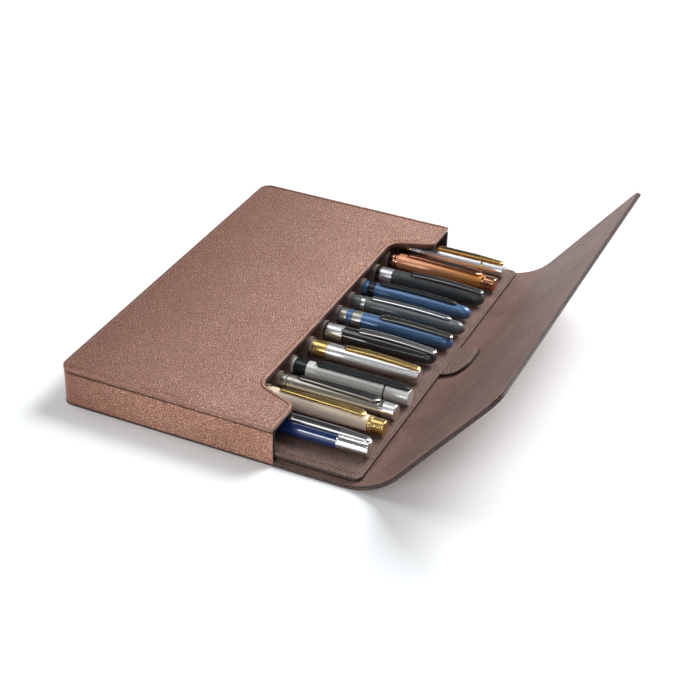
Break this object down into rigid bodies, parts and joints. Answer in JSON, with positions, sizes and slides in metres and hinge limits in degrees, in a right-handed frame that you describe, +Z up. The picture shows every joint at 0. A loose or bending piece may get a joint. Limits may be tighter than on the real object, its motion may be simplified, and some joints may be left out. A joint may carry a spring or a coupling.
{
  "type": "pen case",
  "caption": "Leather pen case: a hard sleeve with a cut-out top, a pull-out padded tray that holds pens under elastic, and a closure flap.",
  "frame": {"origin": "centre of the sleeve's underside, where it rests on a table", "axes": "+Z up, +X out of the sleeve's opening towards the flap, +Y along the length of the case"},
  "size_m": [0.2826, 0.274, 0.0897],
  "materials": {
    "case_leather": "pebbled brown leather",
    "lining_leather": "smooth taupe leather",
    "inner_lining": "dark suede-like lining",
    "card_board": "hard card stiffener",
    "padding": "thin padding",
    "elastic": "fine ribbed elastic",
    "magnet": "plated magnet",
    "navy_gloss": "glossy lacquer",
    "ivory_gloss": "glossy lacquer",
    "gunmetal": "satin gunmetal",
    "grey_matte": "matte metallic grey",
    "silver_satin": "satin silver with fine stripes",
    "black_gloss": "glossy lacquer",
    "blue_satin": "satin blue",
    "graphite_matte": "matte graphite",
    "black_texture": "fine textured black",
    "copper_satin": "satin copper",
    "chrome_trim": "polished",
    "gold_trim": "polished gold plate",
    "black_trim": "black enamel",
    "grey_trim": "dark plated",
    "rose_trim": "polished rose plate"
  },
  "bodies": {
    "case": {"base_leather": "case_leather", "base_board": "card_board", "base_lining": "inner_lining", "side_band": "case_leather", "side_board": "card_board", "side_lining": "inner_lining", "top_lining": "inner_lining", "top_board": "card_board", "top_leather": "case_leather", "sleeve_magnets": "magnet", "flap_bed_lining": "lining_leather"},
    "flap_front": {"flap_front_leather": "case_leather", "flap_front_lining": "lining_leather"},
    "flap_cover": {"flap_cover_leather": "case_leather", "flap_cover_lining": "lining_leather", "flap_magnets": "magnet"},
    "tray": {"tray_base_leather": "case_leather", "tray_board": "card_board", "tray_foam": "padding", "tray_top_leather": "lining_leather", "pen_loops": "elastic"},
    "pull_tab": {"pull_tab": "lining_leather"},
    "pen_01": {"pen_01_barrel": "navy_gloss", "pen_01_cap": "navy_gloss", "pen_01_trim": "chrome_trim"},
    "pen_02": {"pen_02_barrel": "ivory_gloss", "pen_02_cap": "ivory_gloss", "pen_02_trim": "gold_trim"},
    "pen_03": {"pen_03_barrel": "gunmetal", "pen_03_cap": "gunmetal", "pen_03_trim": "grey_trim"},
    "pen_04": {"pen_04_barrel": "grey_matte", "pen_04_cap": "grey_matte", "pen_04_trim": "black_trim"},
    "pen_05": {"pen_05_barrel": "silver_satin", "pen_05_cap": "silver_satin", "pen_05_trim": "gold_trim"},
    "pen_06": {"pen_06_barrel": "black_gloss", "pen_06_cap": "black_gloss", "pen_06_trim": "chrome_trim"},
    "pen_07": {"pen_07_barrel": "blue_satin", "pen_07_cap": "blue_satin", "pen_07_trim": "grey_trim"},
    "pen_08": {"pen_08_barrel": "graphite_matte", "pen_08_cap": "graphite_matte", "pen_08_trim": "chrome_trim"},
    "pen_09": {"pen_09_barrel": "blue_satin", "pen_09_cap": "blue_satin", "pen_09_trim": "grey_trim"},
    "pen_10": {"pen_10_barrel": "black_texture", "pen_10_cap": "black_texture", "pen_10_trim": "chrome_trim"},
    "pen_11": {"pen_11_barrel": "copper_satin", "pen_11_cap": "copper_satin", "pen_11_trim": "rose_trim"},
    "pen_12": {"pen_12_barrel": "silver_satin", "pen_12_cap": "silver_satin", "pen_12_trim": "gold_trim"}
  },
  "joints": [
    {"name": "tray_slide", "type": "slide", "parent": "case", "child": "tray", "axis": [1, 0, 0], "range_m": [-0.0547, 0]},
    {"name": "flap_front_fold", "type": "hinge", "parent": "case", "child": "flap_front", "pos_m": [0.12967, 0, 0.00326], "axis": [0, 1, 0], "range_deg": [-40, 33]},
    {"name": "flap_cover_fold", "type": "hinge", "parent": "flap_front", "child": "flap_cover", "pos_m": [0.15195, 0, 0.0184], "axis": [0, 1, 0], "range_deg": [-88, 18]},
    {"name": "tab_flex", "type": "hinge", "parent": "tray", "child": "pull_tab", "pos_m": [0.1287, 0, 0.0046], "axis": [0, 1, 0], "range_deg": [-40, 33]},
    {"name": "pen_01_slide", "type": "slide", "parent": "tray", "child": "pen_01", "axis": [1, 0, 0], "range_m": [0, 0.006]},
    {"name": "pen_02_slide", "type": "slide", "parent": "tray", "child": "pen_02", "axis": [1, 0, 0], "range_m": [0, 0.006]},
    {"name": "pen_03_slide", "type": "slide", "parent": "tray", "child": "pen_03", "axis": [1, 0, 0], "range_m": [0, 0.006]},
    {"name": "pen_04_slide", "type": "slide", "parent": "tray", "child": "pen_04", "axis": [1, 0, 0], "range_m": [0, 0.006]},
    {"name": "pen_05_slide", "type": "slide", "parent": "tray", "child": "pen_05", "axis": [1, 0, 0], "range_m": [0, 0.006]},
    {"name": "pen_06_slide", "type": "slide", "parent": "tray", "child": "pen_06", "axis": [1, 0, 0], "range_m": [0, 0.006]},
    {"name": "pen_07_slide", "type": "slide", "parent": "tray", "child": "pen_07", "axis": [1, 0, 0], "range_m": [0, 0.006]},
    {"name": "pen_08_slide", "type": "slide", "parent": "tray", "child": "pen_08", "axis": [1, 0, 0], "range_m": [0, 0.006]},
    {"name": "pen_09_slide", "type": "slide", "parent": "tray", "child": "pen_09", "axis": [1, 0, 0], "range_m": [0, 0.006]},
    {"name": "pen_10_slide", "type": "slide", "parent": "tray", "child": "pen_10", "axis": [1, 0, 0], "range_m": [0, 0.006]},
    {"name": "pen_11_slide", "type": "slide", "parent": "tray", "child": "pen_11", "axis": [1, 0, 0], "range_m": [0, 0.006]},
    {"name": "pen_12_slide", "type": "slide", "parent": "tray", "child": "pen_12", "axis": [1, 0, 0], "range_m": [0, 0.006]}
  ],
  "couplings": [
    {"joint": "tab_flex", "follows": "flap_front_fold", "ratio": 1}
  ]
}
